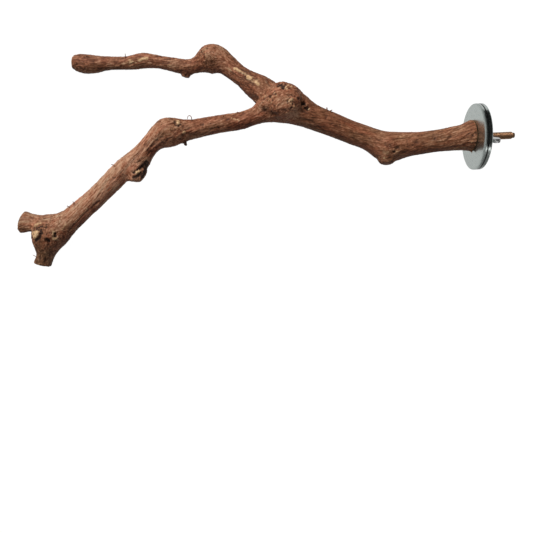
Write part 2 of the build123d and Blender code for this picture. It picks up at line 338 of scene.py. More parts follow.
MARK_SHAPES = {
    # kind: colour mask that it adds to, strength there, share of its reach with a level floor,
    # share of it that is broken up. The dark mask is partly painted shade, inside cracks, pits and holes
    # and where rot and stain marks stand for shadows, and partly dark wood.
    "crack": ("dark", 0.42, 0.0, 1.0),
    "pit": ("dark", 0.75, 0.1, 0.3),
    "rot": ("dark", 0.3, 0.3, 1.0),
    "stain": ("dark", 0.9, 0.3, 0.2),
    "fresh": ("pale", 1.0, 0.45, 0.2),
    "chip": ("pale", 0.75, 0.4, 0.6),
    "scar": ("pale", 0.5, 0.2, 0.8),
    "tan": ("pale", 0.28, 0.2, 1.0),
    "lump": (None, 0.0, 0.0, 0.0),
}

# Wear that is scattered over every side of the wood: kind, how many, reach, depth, length
SCATTER = [
    ("pit", 30, 0.6, 0.5, 0.0),
    ("crack", 30, 0.5, 0.4, 9.0),
    ("scar", 18, 0.5, 0.1, 3.0),
    ("rot", 16, 0.9, 0.2, 2.5),
]
SCATTER_SEED = 11

# Saw cuts across the ends: a point on the cut, and the way that it faces
CUTS = [
    ((-2.7, 0, 0), (1, 0, 0)),
    ((-317.3, -47.0, -10), (-0.94, 0.34, 0)),
    ((-304, -74, -11.5), (-0.29, -0.95, -0.08)),
    ((-277.7, 68.9, -16), (-0.98, 0.19, 0)),
]
CUT_REACH = 1.2
CUT_AREA = 16.0
CUT_FACING = 0.75


def linked(name, data):
    """A new object in the scene."""
    made = bpy.data.objects.new(name, data)
    bpy.context.scene.collection.objects.link(made)
    return made


def fine_copy(node, name, quad, extra=()):
    """A copy of a CAD node, with any cones joined on, in even quads ready to be shaped."""
    work = bmesh.new()
    work.from_mesh(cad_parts[node].data)
    bmesh.ops.remove_doubles(work, verts=work.verts, dist=0.001 * MM)
    for root, tip, root_radius, tip_radius in extra:
        start, end = Vector(root) * MM, Vector(tip) * MM
        lean = (end - start).to_track_quat("Z", "Y").to_matrix().to_4x4()
        bmesh.ops.create_cone(
            work, cap_ends=True, segments=20, radius1=root_radius * MM, radius2=tip_radius * MM,
            depth=(end - start).length, matrix=Matrix.Translation((start + end) / 2) @ lean,
        )
    rough = bpy.data.meshes.new(name)
    work.to_mesh(rough)
    work.free()
    piece = linked(name, rough)
    remesh = piece.modifiers.new("even quads", "REMESH")
    remesh.mode = "VOXEL"
    remesh.voxel_size = quad * MM
    graph = bpy.context.evaluated_depsgraph_get()
    even = bpy.data.meshes.new_from_object(piece.evaluated_get(graph))
    piece.modifiers.clear()
    piece.data = even
    even.materials.clear()
    even.shade_smooth()
    return piece


def places(piece):
    """Where a piece's vertices are."""
    flat = np.empty(3 * len(piece.data.vertices))
    piece.data.vertices.foreach_get("co", flat)
    return flat.reshape(-1, 3) / MM


def put(piece, points):
    """Moves a piece's vertices, and returns the way that each now faces."""
    piece.data.vertices.foreach_set("co", (points * MM).ravel())
    piece.data.update()
    flat = np.empty(3 * len(points))
    piece.data.vertices.foreach_get("normal", flat)
    return flat.reshape(-1, 3)


def edge_pairs(piece):
    """The two vertices of each of a piece's edges."""
    flat = np.empty(2 * len(piece.data.edges), np.int32)
    piece.data.edges.foreach_get("vertices", flat)
    return flat.reshape(-1, 2)


def averaged(values, pairs):
    """Each vertex's mean over the vertices joined to it."""
    first, second = pairs.T
    count = np.bincount(pairs.ravel(), minlength=len(values))
    columns = [
        np.bincount(first, column[second], len(values)) + np.bincount(second, column[first], len(values))
        for column in values.reshape(len(values), -1).T
    ]
    return (np.array(columns).T / count[:, None]).reshape(values.shape)


def smooth_line(points, step):
    """Close points on a smooth curve through a few given ones."""
    given = np.array(points, float)
    before_all, after_all = 2 * given[0] - given[1], 2 * given[-1] - given[-2]
    given = np.vstack([before_all, given, after_all])
    line = []
    for before, start, end, after in zip(given, given[1:], given[2:], given[3:]):
        count = max(2, int(np.linalg.norm(end - start) / step))
        for t in np.arange(count) / count:
            bend = 2 * before - 5 * start + 4 * end - after
            twist = 3 * start - before - 3 * end + after
            line.append(start + (end - before) * t / 2 + bend * t**2 / 2 + twist * t**3 / 2)
    return np.array(line)


def nearest(points, line):
    """The index of the line's nearest point, for each point."""
    tree = kdtree.KDTree(len(line))
    for index, place in enumerate(line):
        tree.insert(place, index)
    tree.balance()
    return np.fromiter((tree.find(point)[1] for point in points.tolist()), int, len(points))


def field(points, scale, shift=0.0):
    """Smooth noise from -1 to 1 at each point, the same on every run."""
    scaled = points / np.array(scale) + shift
    return np.fromiter((noise.noise(place) for place in scaled.tolist()), float, len(points))


def knobs(points, scale, shift=0.0):
    """Rounded knobs from 0 to 1, packed side by side."""
    scaled = points / scale + shift
    spread = (noise.voronoi(place)[0][0] for place in scaled.tolist())
    return 1 - np.clip(np.fromiter(spread, float, len(points)), 0, 1)


branch = fine_copy("branch", "vine_branch", WOOD_QUAD, SNAGS)
pairs = edge_pairs(branch)
points = places(branch)
facing = put(branch, points)
wood_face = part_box("branch")[1].x / MM
off_axis = np.hypot(points[:, 1], points[:, 2])
in_bore = (off_axis < BORE_REACH) & (points[:, 0] > wood_face - BORE_DEPTH)
free = np.where(in_bore, 0.0, 1.0)

# The creases where limbs meet fill up, as the wood grows over them
for round_number in range(CREASE_ROUNDS):
    rise = ((averaged(points, pairs) - points) * facing).sum(1)
    points += facing * (np.clip(rise, 0, None) * free)[:, None]
    if round_number % 10 == 9:
        facing = put(branch, points)
for _ in range(EVEN_ROUNDS):
    points += (averaged(points, pairs) - points) * 0.5 * free[:, None]


def near(middle, reach):
    """How much each vertex belongs to a round area: 1 in its middle, fading to 0."""
    return np.exp(-((np.linalg.norm(points - np.array(middle), axis=1) / reach) ** 2))


grown_over = np.max([near(middle, reach) for middle, reach in ROUNDED], axis=0)
for _ in range(ROUND_ROUNDS):
    points += (averaged(points, pairs) - points) * 0.5 * grown_over[:, None]
facing = put(branch, points)
swelling = sum(height * near(middle, reach) for middle, reach, height in SWELLS)
points += facing * (swelling * free)[:, None]
cuts = [(np.array(middle), np.array(way) / np.linalg.norm(way)) for middle, way in CUTS]
for middle, way in cuts:
    from_cut = points - middle
    beyond = np.clip(from_cut @ way, 0, None) * (np.linalg.norm(from_cut, axis=1) < CUT_AREA)
    points -= np.outer(beyond, way)
facing = put(branch, points)

# Each vertex's place along and across the grain of every limb, and how much each limb counts
limbs = []
for guide in GRAIN_LINES:
    line = smooth_line(guide, LINE_STEP)
    ahead = np.gradient(line, axis=0)
    steps = np.linalg.norm(np.diff(line, axis=0), axis=1)
    length = np.concatenate([[0], np.cumsum(steps)])
    ahead /= np.linalg.norm(ahead, axis=1)[:, None]
    at = nearest(points, line)
    offset = points - line[at]
    side = np.cross((0, 0, 1), ahead[at])
    side /= np.linalg.norm(side, axis=1)[:, None]
    over = np.cross(ahead[at], side)
    across = np.column_stack([(offset * side).sum(1), (offset * over).sum(1)])
    along = length[at] + (offset * ahead[at]).sum(1)
    turn = TWIST * along
    turned = np.column_stack([
        across[:, 0] * np.cos(turn) - across[:, 1] * np.sin(turn),
        across[:, 0] * np.sin(turn) + across[:, 1] * np.cos(turn),
        along,
    ])
    distance = np.linalg.norm(offset, axis=1)
    limbs.append({"grain": turned, "ahead": ahead[at], "weight": distance ** -LIMB_SHARPNESS})
total = sum(limb["weight"] for limb in limbs)
for number, limb in enumerate(limbs):
    limb["weight"] /= total
    limb["grain"][:, 2] += LIMBS_APART * number

burl = np.zeros(len(points))
knob_height = np.zeros(len(points))
for middle, reach, height in BURLS:
    belongs = near(middle, reach)
    burl = np.maximum(burl, belongs)
    knob_height = np.maximum(knob_height, belongs * height)

# Fibres wander as they run, and curl round the burls
for limb in limbs:
    grain = limb["grain"]
    for column in (0, 1):
        sway = field(grain, (30, 30, WANDER_LENGTH), 7.3 * column + 3.1)
        curl = field(points, CURL_SIZE, 5.7 * column + 1.9)
        grain[:, column] += WANDER * sway + CURL * burl * curl


def along_grain(across, along, shift):
    """Noise drawn out along the grain, blended where limbs meet."""
    blended = np.zeros(len(points))
    for limb in limbs:
        counts = limb["weight"] > 0.02
        drawn = field(limb["grain"][counts], (across, across, along), shift)
        blended[counts] += limb["weight"][counts] * drawn
    return blended


# Heights of the relief that runs along the grain, and what the fluted stretch adds to it
SWELL_HEIGHT = 0.3
FURROW_HEIGHT = 0.14
FURROW_FLUTED = 0.25
STRAND_HEIGHT = 0.1
STRAND_FLUTED = 0.2
FIBRE_HEIGHT = 0.26
NAP_HEIGHT = 0.24
SPLIT_DEPTH = 0.25
SPLIT_WIDTH = 0.07
KNOB_SIZE = 4.2
CRUMB_SIZE = 2.1
WORN_DOWN = 0.1
CALM_SHARE = 0.6
furrow = along_grain(5.0, 50.0, 2.4)
strand = 1 - 2 * np.abs(along_grain(2.3, 22.0, 13.7))
fibre = along_grain(1.15, 8.0, 31.2)
split = np.clip(1 - np.abs(along_grain(2.8, 30.0, 47.9)) / SPLIT_WIDTH, 0, 1)
split *= np.clip(0.3 + field(points, 12.0, 4.4) * 3, 0, 1)
swell = field(points, 13.0, 9.2)
nap = field(points, 1.1, 3.8)
fluted = near(FLUTED_MIDDLE, FLUTED_REACH)
fine = 1 - CALM_SHARE * near(CALM_MIDDLE, CALM_REACH)
lift = SWELL_HEIGHT * swell - SPLIT_DEPTH * split
lift += (FURROW_HEIGHT + FURROW_FLUTED * fluted) * furrow
lift += (STRAND_HEIGHT + STRAND_FLUTED * fluted) * strand
lift += fine * (FIBRE_HEIGHT * fibre + NAP_HEIGHT * nap)
crumbs = knobs(points, CRUMB_SIZE, 3.3)
lift += knob_height * (1.2 * knobs(points, KNOB_SIZE) + 0.9 * crumbs - 1.0)
lift -= WORN_DOWN

# Marks are carved along their points, which are set on the wood first
wood_tree = kdtree.KDTree(len(points))
for index, place in enumerate(points):
    wood_tree.insert(place, index)
wood_tree.balance()
ragged = 1 + 0.45 * field(points, 1.6, 6.1) + 0.25 * field(points, 0.8, 2.2)
broken = np.clip(0.75 + 0.7 * field(points, 2.6, 8.7), 0.15, 1)
masks = {"dark": np.zeros(len(points)), "pale": np.zeros(len(points))}


def mark(kind, reach, depth, seats):
    """Carves or raises one mark along places on the wood, and colours it."""
    mask, strength, level, loose = MARK_SHAPES[kind]
    low, high = seats.min(0) - 3 * reach, seats.max(0) + 3 * reach
    close = np.where(((points > low) & (points < high)).all(1))[0]
    gap = np.linalg.norm(points[close, None] - seats[None], axis=2).min(1)
    gap = np.clip(gap * ragged[close] / reach - level, 0, None)
    shape = np.exp(-((1.4 * gap) ** 2)) * (1 - loose * (1 - broken[close]))
    lift[close] -= shape * depth
    if mask:
        edge = strength * np.clip((shape - 0.25) / 0.4, 0, 1)
        colour = masks[mask]
        other = masks["pale" if mask == "dark" else "dark"]
        colour[close] = np.maximum(colour[close], edge)
        other[close] *= 1 - edge


def route(through, step):
    """Places along a line through a few given ones, a step apart."""
    given = np.array(through, float)
    stretches = [
        np.linspace(start, end, max(2, int(np.linalg.norm(end - start) / step)))
        for start, end in zip(given, given[1:])
    ]
    return np.vstack(stretches) if stretches else given


draw = np.random.default_rng(SCATTER_SEED)
main_limb = np.argmax([limb["weight"] for limb in limbs], axis=0)
ahead_here = np.choose(main_limb[:, None], [limb["ahead"] for limb in limbs])
wood_skin = np.where(free > 0)[0]
for kind, count, reach, depth, length in SCATTER:
    for spot in draw.choice(wood_skin, count, replace=False):
        size = draw.uniform(0.6, 1.3)
        half = ahead_here[spot] * length * size / 2
        middle = points[spot]
        line = route([middle - half, middle + half] if length else [middle], reach)
        seats = points[[wood_tree.find(place)[1] for place in line.tolist()]]
        mark(kind, reach * size, depth * size, seats)

# Each vertex's pixel in the photograph; of those at a pixel, the nearest to the camera is seen
right = np.array([math.cos(CAMERA_ROLL), math.sin(CAMERA_ROLL)])
up = np.array([-math.sin(CAMERA_ROLL), math.cos(CAMERA_ROLL)])
from_camera = points - CAMERA_PLACE
enlarged = CAMERA_LENS / CAMERA_SENSOR * PHOTO_SIZE / -from_camera[:, 2]
pixels = np.column_stack([
    PHOTO_SIZE / 2 + from_camera[:, :2] @ right * enlarged,
    PHOTO_SIZE / 2 - from_camera[:, :2] @ up * enlarged,
])


def seen_at(pixel):
    """The place on the wood that a pixel of the photograph shows."""
    apart = np.linalg.norm(pixels - pixel, axis=1)
    there = np.where(apart < max(PIXEL_REACH, apart.min() + 0.01))[0]
    return points[there[np.argmax(points[there, 2])]]


for kind, reach, depth, *through in MARKS:
    mark(kind, reach, depth, np.array([seen_at(pixel) for pixel in route(through, PIXEL_STEP)]))

cut = np.zeros(len(points))
ring = np.zeros(len(points))
for middle, way in cuts:
    from_cut = points - middle
    depth = np.abs(from_cut @ way)
    level_off = from_cut - np.outer(from_cut @ way, way)
    on_cut = (depth < CUT_REACH) & (facing @ way > CUT_FACING)
    on_cut &= np.linalg.norm(from_cut, axis=1) < CUT_AREA
    cut[on_cut] = 1
    ring[on_cut] = np.linalg.norm(level_off[on_cut], axis=1)
SAWN_FLAT = 0.85
SAW_MARKS = 0.1
cut = averaged(cut, pairs)
lift *= 1 - SAWN_FLAT * cut
lift += SAW_MARKS * cut * field(points, (0.9, 6.0, 0.9))

# Where the wood lies below its surroundings, to be painted darker there as shade
BROAD_ROUNDS = 16
HOLLOW_DEPTH = 0.7
LAST_EVEN = 0.35
broad = lift.copy()
for _ in range(BROAD_ROUNDS):
    broad = averaged(broad, pairs)
hollow = np.clip((broad - lift) / HOLLOW_DEPTH, 0, 1)
points += facing * (lift * free)[:, None]
box_low, box_high = (np.array(corner) / MM for corner in cad_box)
points = np.clip(points, box_low, np.minimum(box_high, [wood_face, np.inf, np.inf]))
points += (averaged(points, pairs) - points) * LAST_EVEN * free[:, None]
put(branch, points)


def store(piece, name, values):
    """Keeps a value or a vector for each vertex, for the material to read."""
    kind = "FLOAT" if values.ndim == 1 else "FLOAT_VECTOR"
    kept = piece.data.attributes.new(name, kind, "POINT")
    field_name = "value" if values.ndim == 1 else "vector"
    kept.data.foreach_set(field_name, values.astype(np.float32).ravel())


# Tone of each vertex: 0 darkest, 1 palest. Streaks along the grain are the wood's own; splits, the
# gaps between a burl's crumbs and the fluted stretch's furrows are painted darker as shade, crumb tops
# and ridges paler as light, and the patches above add painted light and shade.
grain_here = np.choose(main_limb[:, None], [limb["grain"] for limb in limbs])
wood_tone_and_shade = 0.5 + 0.12 * along_grain(2.6, 24.0, 71.3) + 0.34 * fine * along_grain(1.1, 7.0, 83.1)
wood_tone_and_shade += 0.4 * fine * field(points, 1.1, 12.9) - 0.25 * split + 0.6 * knob_height * (crumbs - 0.55)
wood_tone_and_shade += 0.12 * fluted * strand
wood_tone_and_shade += sum(tone * near(middle, reach) for middle, reach, tone, _ in TONES_AND_PAINTED_LIGHT)
ruddy = sum(redness * near(middle, reach) for middle, reach, _, redness in TONES_AND_PAINTED_LIGHT)
store(branch, "grain", grain_here)
store(branch, "wood_tone_and_shade", np.clip(wood_tone_and_shade, 0, 1))
store(branch, "ruddy", ruddy)
store(branch, "hollow", hollow)
store(branch, "dark", np.clip(masks["dark"], 0, 1))
store(branch, "pale", np.clip(masks["pale"], 0, 1))
store(branch, "cut", cut)
store(branch, "ring", ring)


def add(tree, kind, inputs, **settings):
    """A new node: an input that is given a socket is linked, and any other value is set."""
    made = tree.nodes.new(kind)
    for name, value in settings.items():
        setattr(made, name, value)
    for name, value in inputs.items():
        if isinstance(value, bpy.types.NodeSocket):
            tree.links.new(value, made.inputs[name])
        else:
            made.inputs[name].default_value = value
    return made


def attribute(tree, name, output="Fac"):
    """The socket of a value kept on the mesh."""
    return add(tree, "ShaderNodeAttribute", {}, attribute_name=name).outputs[output]


def maths(tree, operation, *values):
    """One step of arithmetic on values that are sockets or numbers."""
    return add(tree, "ShaderNodeMath", dict(enumerate(values)), operation=operation).outputs[0]


def drawn_noise(tree, vector, across, along, detail):
    """Noise from 0 to 1 drawn out along the third axis; sizes are millimetres."""
    shrink = (1 / across, 1 / across, 1 / along)
    scaled = add(tree, "ShaderNodeVectorMath", {0: vector, 1: shrink}, operation="MULTIPLY")
    made = add(tree, "ShaderNodeTexNoise", {"Vector": scaled.outputs[0], "Scale": 1.0, "Detail": detail})
    return made.outputs["Fac"]


def blend(tree, factor, first, second, how="MIX"):
    """Two colours mixed by a factor."""
    made = add(tree, "ShaderNodeMix", {0: factor, 6: first, 7: second}, data_type="RGBA", blend_type=how)
    made.clamp_factor = True
    return made.outputs[2]


def mapped(tree, value, low, high, to_low=0.0, to_high=1.0):
    """A value's range stretched to another, and held inside it."""
    made = add(tree, "ShaderNodeMapRange", {0: value, 1: low, 2: high, 3: to_low, 4: to_high})
    return made.outputs[0]


def ramp(tree, value, stops):
    """A colour for each value, between the given stops."""
    made = add(tree, "ShaderNodeValToRGB", {"Fac": value})
    elements = made.color_ramp.elements
    while len(elements) < len(stops):
        elements.new(0.5)
    for element, (place, colour) in zip(elements, stops):
        element.position = place
        element.color = (*colour, 1)
    return made.outputs["Color"]


def new_group(name, inputs, outputs):
    """An empty node group with its named sockets, and its input and output nodes."""
    group = bpy.data.node_groups.new(name, "ShaderNodeTree")
    for socket, kind in inputs:
        group.interface.new_socket(socket, in_out="INPUT", socket_type="NodeSocket" + kind)
    for socket, kind in outputs:
        group.interface.new_socket(socket, in_out="OUTPUT", socket_type="NodeSocket" + kind)
    return group, group.nodes.new("NodeGroupInput"), group.nodes.new("NodeGroupOutput")


def new_material(name, **values):
    """A material with its Principled shader, whose plain values are set."""
    material = bpy.data.materials.new(name)
    material.use_nodes = True
    shader = material.node_tree.nodes["Principled BSDF"]
    for socket, value in values.items():
        shader.inputs[socket.replace("_", " ")].default_value = value
    return material, material.node_tree, shader


# Fibrous grain of stripped vine wood, as colour and height, for any piece with grain to follow
vine_grain, grain_in, grain_out = new_group(
    "vine grain",
    [("Grain", "Vector"), ("Tone_and_shade", "Float"), ("Redness", "Float")],
    [("Color", "Color"), ("Height", "Float")],
)
coarse = drawn_noise(vine_grain, grain_in.outputs["Grain"], 0.9, 6.0, 3.0)
hair = drawn_noise(vine_grain, grain_in.outputs["Grain"], 0.45, 3.0, 2.0)
patch = drawn_noise(vine_grain, grain_in.outputs["Grain"], 4.0, 16.0, 3.0)
tone = maths(vine_grain, "MULTIPLY_ADD", coarse, 1.6, grain_in.outputs["Tone_and_shade"])
tone = maths(vine_grain, "MULTIPLY_ADD", hair, 0.6, tone)
bare = ramp(
    vine_grain,
    mapped(vine_grain, tone, 1.02, 2.22),
    [
        (0.0, (0.06, 0.021, 0.009)),
        (0.35, (0.165, 0.06, 0.028)),
        (0.62, (0.285, 0.127, 0.07)),
        (1.0, (0.46, 0.266, 0.174)),
    ],
)
redder = maths(vine_grain, "ADD", patch, grain_in.outputs["Redness"])
tint = ramp(
    vine_grain,
    redder,
    [
        (0.0, (0.76, 1.0, 1.0)),
        (0.35, (0.95, 0.98, 0.93)),
        (0.65, (1.0, 0.82, 0.74)),
        (0.9, (1.04, 0.72, 0.64)),
    ],
)
tinted = blend(vine_grain, 1.0, bare, tint, "MULTIPLY")
height = maths(vine_grain, "MULTIPLY_ADD", hair, 0.5, coarse)
vine_grain.links.new(tinted, grain_out.inputs["Color"])
vine_grain.links.new(height, grain_out.inputs["Height"])

vine_wood, tree, shader = new_material("vine_wood", Specular_IOR_Level=0.15)
grain_vector = attribute(tree, "grain", "Vector")
grain_node = add(tree, "ShaderNodeGroup", {}, node_tree=vine_grain)
tree.links.new(grain_vector, grain_node.inputs["Grain"])
tree.links.new(attribute(tree, "wood_tone_and_shade"), grain_node.inputs["Tone_and_shade"])
tree.links.new(attribute(tree, "ruddy"), grain_node.inputs["Redness"])
# Painted shade: the wood is darkened towards near black where it lies below its surroundings
hollow_shade = mapped(tree, attribute(tree, "hollow"), 0.05, 0.9, 0.0, 0.6)
colour = blend(tree, hollow_shade, grain_node.outputs["Color"], (0.045, 0.016, 0.009, 1))
pale_grain = drawn_noise(tree, grain_vector, 0.6, 5.0, 3.0)
pale_wood = ramp(
    tree,
    pale_grain,
    [(0.3, (0.33, 0.18, 0.08)), (0.5, (0.54, 0.34, 0.18)), (0.7, (0.74, 0.53, 0.32))],
)
colour = blend(tree, attribute(tree, "pale"), colour, pale_wood)
ring_waver = maths(tree, "MULTIPLY_ADD", pale_grain, 0.8, attribute(tree, "ring"))
rings = maths(tree, "SINE", maths(tree, "MULTIPLY", ring_waver, 4.2))
end_grain = ramp(tree, mapped(tree, rings, -1, 1), [(0.1, (0.2, 0.1, 0.05)), (0.7, (0.4, 0.25, 0.13))])
colour = blend(tree, attribute(tree, "cut"), colour, end_grain)
# Dark marks painted near black: painted shade in cracks, pits, holes and the shadows that rot and stain
# marks stand for, and dark wood where the rot and stains are real
colour = blend(tree, attribute(tree, "dark"), colour, (0.022, 0.01, 0.006, 1))
tree.links.new(colour, shader.inputs["Base Color"])
grain_height = grain_node.outputs["Height"]
tree.links.new(mapped(tree, grain_height, 0.4, 1.1, 0.5, 0.7), shader.inputs["Roughness"])
bump = add(tree, "ShaderNodeBump", {"Height": grain_height, "Strength": 1.0, "Distance": 0.45 * MM})
tree.links.new(bump.outputs["Normal"], shader.inputs["Normal"])
branch.data.materials.append(vine_wood)
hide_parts("branch")
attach(branch, "perch")

# Loose fibres: hairs and slivers that stayed on the wood where its bark was pulled off. Each is
# a thin strand of the same wood, tapered to a point and rooted in the surface.
STRAND_SIDES = 3
STRAND_SUNK = 0.6
STRAND_TAPER = 0.45
STRANDS = [
    # thickness at the root; the root, as a pixel of the photograph or as a place on a side that it
    # doesn't show; and the strand's points from there
    (0.8, (125.4, 57.4), [(0.1, 1.2, 0.3), (0.0, 3.0, 0.5)]),
    (0.8, (73.0, 204.4), [(-0.2, 1.2, 0.2), (-0.6, 2.4, 0.3)]),
    (1.0, (69.0, 207.4), [(-0.8, 0.8, 0.2), (-1.8, 1.2, 0.2)]),
    (0.6, (37.5, 258.0), [(-1.2, 0.8, 0.3), (-2.6, 1.6, 0.4), (-3.6, 2.2, 0.3)]),
    (0.8, (114.0, 165.4), [(-0.9, 0.9, 0.2), (-2.2, 1.2, 0.4)]),
    (
        0.6, (191.8, 119.6),
        [(0.2, 1.6, 0.6), (-0.4, 3.0, 1.0), (-1.6, 3.2, 1.2), (-2.6, 2.2, 1.0), (-2.6, 0.9, 0.7)],
    ),
    (1.2, (320.0, 106.8), [(-0.2, 0.9, 0.2), (-0.8, 1.5, 0.2)]),
    (1.2, (327.4, 109.8), [(0.1, 1.2, 0.2), (0.0, 2.2, 0.3)]),
    (1.0, (330.5, 110.8), [(0.6, 0.8, 0.1), (1.6, 0.9, 0.1)]),
    (1.1, (225.2, 116.2), [(-0.4, 0.8, 0.1), (-1.3, 1.1, 0.1)]),
    (1.1, (238.6, 112.8), [(-0.4, 0.8, 0.1), (-1.3, 1.1, 0.1)]),
    (1.0, (85.6, 56.0), [(0.3, 0.9, 0.1), (1.0, 1.1, 0.1)]),
    (0.4, (-60.4, -8.0, -14.0), [(-0.8, -0.4, -1.2), (-1.8, -0.6, -2.2)]),
    (0.4, (-140.4, 22.0, -12.0), [(-0.6, 0.2, -1.2), (-1.8, 0.4, -2.2)]),
    (0.4, (-262.4, -30.0, -14.0), [(-0.4, 0.6, -1.2), (-1.4, 0.8, -2.0)]),
    (0.4, (-212.4, 64.0, -18.0), [(-0.8, 0.2, -1.1), (-2.0, 0.4, -1.8)]),
]
strand_curve = bpy.data.curves.new("loose_fibres", "CURVE")
strand_curve.dimensions = "3D"
strand_curve.bevel_depth = 0.5 * MM
strand_curve.bevel_resolution = STRAND_SIDES
strand_curve.use_fill_caps = True
for thickness, root, steps in STRANDS:
    seat = Vector(seen_at(root) if len(root) == 2 else points[wood_tree.find(root)[1]])
    steps = [Vector(step) for step in steps]
    line = [seat - steps[0].normalized() * STRAND_SUNK, seat, *(seat + step for step in steps)]
    spline = strand_curve.splines.new("NURBS")
    spline.points.add(len(line) - 1)
    for number, (knot, place) in enumerate(zip(spline.points, line)):
        knot.co = (*(place * MM), 1)
        knot.radius = thickness * (1 - STRAND_TAPER * number / (len(line) - 1))
    spline.order_u = 3
    spline.use_endpoint_u = True
strand_rough = linked("strand_rough", strand_curve)
bpy.context.view_layer.update()
graph = bpy.context.evaluated_depsgraph_get()
strand_mesh = bpy.data.meshes.new_from_object(strand_rough.evaluated_get(graph))
bpy.data.objects.remove(strand_rough)
fibres = linked("loose_fibres", strand_mesh)
fibres.data.shade_smooth()


def own_place(tree):
    """A point's place on its piece, in millimetres."""
    here = add(tree, "ShaderNodeTexCoord", {}).outputs["Object"]
    return add(tree, "ShaderNodeVectorMath", {0: here, 1: (1 / MM,) * 3}, operation="MULTIPLY").outputs[0]


fibre_wood, tree, shader = new_material("fibre_wood", Roughness=0.75, Specular_IOR_Level=0.25)
grain_node = add(tree, "ShaderNodeGroup", {}, node_tree=vine_grain)
tree.links.new(own_place(tree), grain_node.inputs["Grain"])
grain_node.inputs["Tone_and_shade"].default_value = 0.35
tree.links.new(grain_node.outputs["Color"], shader.inputs["Base Color"])
fibres.data.materials.clear()
fibres.data.materials.append(fibre_wood)
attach(fibres, "perch")

# Hanger bolt: a bronzed steel rod with a machine thread and a plain lead on the half that stands
# out, and a coarse tapering wood thread on the half that is screwed into the cut end.
bolt_low, bolt_high = (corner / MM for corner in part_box("hanger_bolt"))
BOLT_R = (bolt_high.y - bolt_low.y) / 2
BOLT_SIDES = 40
PITCH = 0.8
THREAD_DEPTH = 0.44
CREST_FLAT = 0.16
LEAD_LENGTH = 1.5
LEAD_R = 1.75
LEAD_CHAMFER = 0.2
RUN_OUT = 0.5
SHANK_LENGTH = 4.0
SHANK_PLAY = 0.02
SCREW_PITCH = 2.1
SCREW_DEPTH = 0.75
SCREW_POINT = 7.0
POINT_R = 0.4
row_places = np.concatenate([
    np.arange(bolt_low.x, wood_face - SHANK_LENGTH, SCREW_PITCH / 8),
    np.arange(wood_face - SHANK_LENGTH, bolt_high.x - LEAD_LENGTH, PITCH / 8),
    np.linspace(bolt_high.x - LEAD_LENGTH, bolt_high.x - LEAD_CHAMFER, 4),
    [bolt_high.x],
])


def thread(place, angle, pitch, flat):
    """How far a turn of thread stands at a place along the rod and an angle round it: 0 to 1."""
    share = (place / pitch - angle / (2 * math.pi)) % 1
    return min(1, max(0, (1 - abs(2 * share - 1)) * (1 + flat)))


def bolt_radius(place, angle):
    """The rod's radius, and how pale its colour is there: most on a thread's crest, least in its root."""
    if place >= bolt_high.x - 0.001:
        return LEAD_R - LEAD_CHAMFER, 0.6
    if place >= bolt_high.x - LEAD_LENGTH:
        return LEAD_R, 0.5
    if place > wood_face:
        start = min(1, (bolt_high.x - LEAD_LENGTH - place) / RUN_OUT)
        turn = thread(place, angle, PITCH, CREST_FLAT)
        first_crest = LEAD_R + LEAD_CHAMFER
        crest = first_crest + (BOLT_R - first_crest) * start
        return min(crest, BOLT_R - THREAD_DEPTH * (1 - turn)), turn
    if place > wood_face - SHANK_LENGTH:
        return BOLT_R - SHANK_PLAY, 0.4
    to_point = min(1, (place - bolt_low.x) / SCREW_POINT)
    outer = POINT_R + (BOLT_R - POINT_R) * to_point
    turn = thread(place, angle, SCREW_PITCH, -0.3)
    return outer - SCREW_DEPTH * to_point * (1 - turn), turn


angles = np.arange(BOLT_SIDES) * 2 * math.pi / BOLT_SIDES
bolt_points = []
crest_paleness = []
for place in row_places.tolist():
    for angle in angles.tolist():
        radius, paleness = bolt_radius(place, angle)
        bolt_points.append((place * MM, radius * math.cos(angle) * MM, radius * math.sin(angle) * MM))
        crest_paleness.append(paleness)


def faces_round(row_pairs, sides):
    """Faces between pairs of rows of points that run round an axis."""
    faces = []
    for row, after in row_pairs:
        for side in range(sides):
            beside = (side + 1) % sides
            corners = (row, side), (row, beside), (after, beside), (after, side)
            faces.append([place * sides + turn for place, turn in corners])
    return faces


bolt_faces = faces_round([(row, row + 1) for row in range(len(row_places) - 1)], BOLT_SIDES)
last = (len(row_places) - 1) * BOLT_SIDES
bolt_faces += [tuple(reversed(range(BOLT_SIDES))), tuple(range(last, last + BOLT_SIDES))]
bolt_mesh = bpy.data.meshes.new("threaded_bolt")
bolt_mesh.from_pydata(bolt_points, [], bolt_faces)
bolt_mesh.shade_smooth()
bolt = linked("threaded_bolt", bolt_mesh)
store(bolt, "crest", np.array(crest_paleness))

# Wear of plated metal, as brightness, roughness and height: smudges, fine scuffs and tiny dents
SMUDGE_SIZE = 20 / 7
SPECK_SIZE = 10 / 9
DULLED = 0.55
plate_wear, wear_in, wear_out = new_group(
    "plate wear",
    [("Place", "Vector"), ("Size", "Float")],
    [("Tone", "Float"), ("Roughness", "Float"), ("Height", "Float")],
)
grown = {0: wear_in.outputs["Place"], "Scale": wear_in.outputs["Size"]}
sized = add(plate_wear, "ShaderNodeVectorMath", grown, operation="SCALE").outputs[0]
smudge = drawn_noise(plate_wear, sized, SMUDGE_SIZE, SMUDGE_SIZE, 4.0)
speck = drawn_noise(plate_wear, sized, SPECK_SIZE, SPECK_SIZE, 4.0)
scuffed = drawn_noise(plate_wear, sized, 0.22, 9.0, 2.0)
plate_wear.links.new(mapped(plate_wear, speck, 0.3, 0.7, 0.62, 1.0), wear_out.inputs["Tone"])
dull = maths(plate_wear, "MULTIPLY_ADD", smudge, 0.7, speck)
plate_wear.links.new(mapped(plate_wear, dull, 0.5, 1.2), wear_out.inputs["Roughness"])
dent = maths(plate_wear, "MULTIPLY_ADD", scuffed, 0.35, speck)
plate_wear.links.new(dent, wear_out.inputs["Height"])


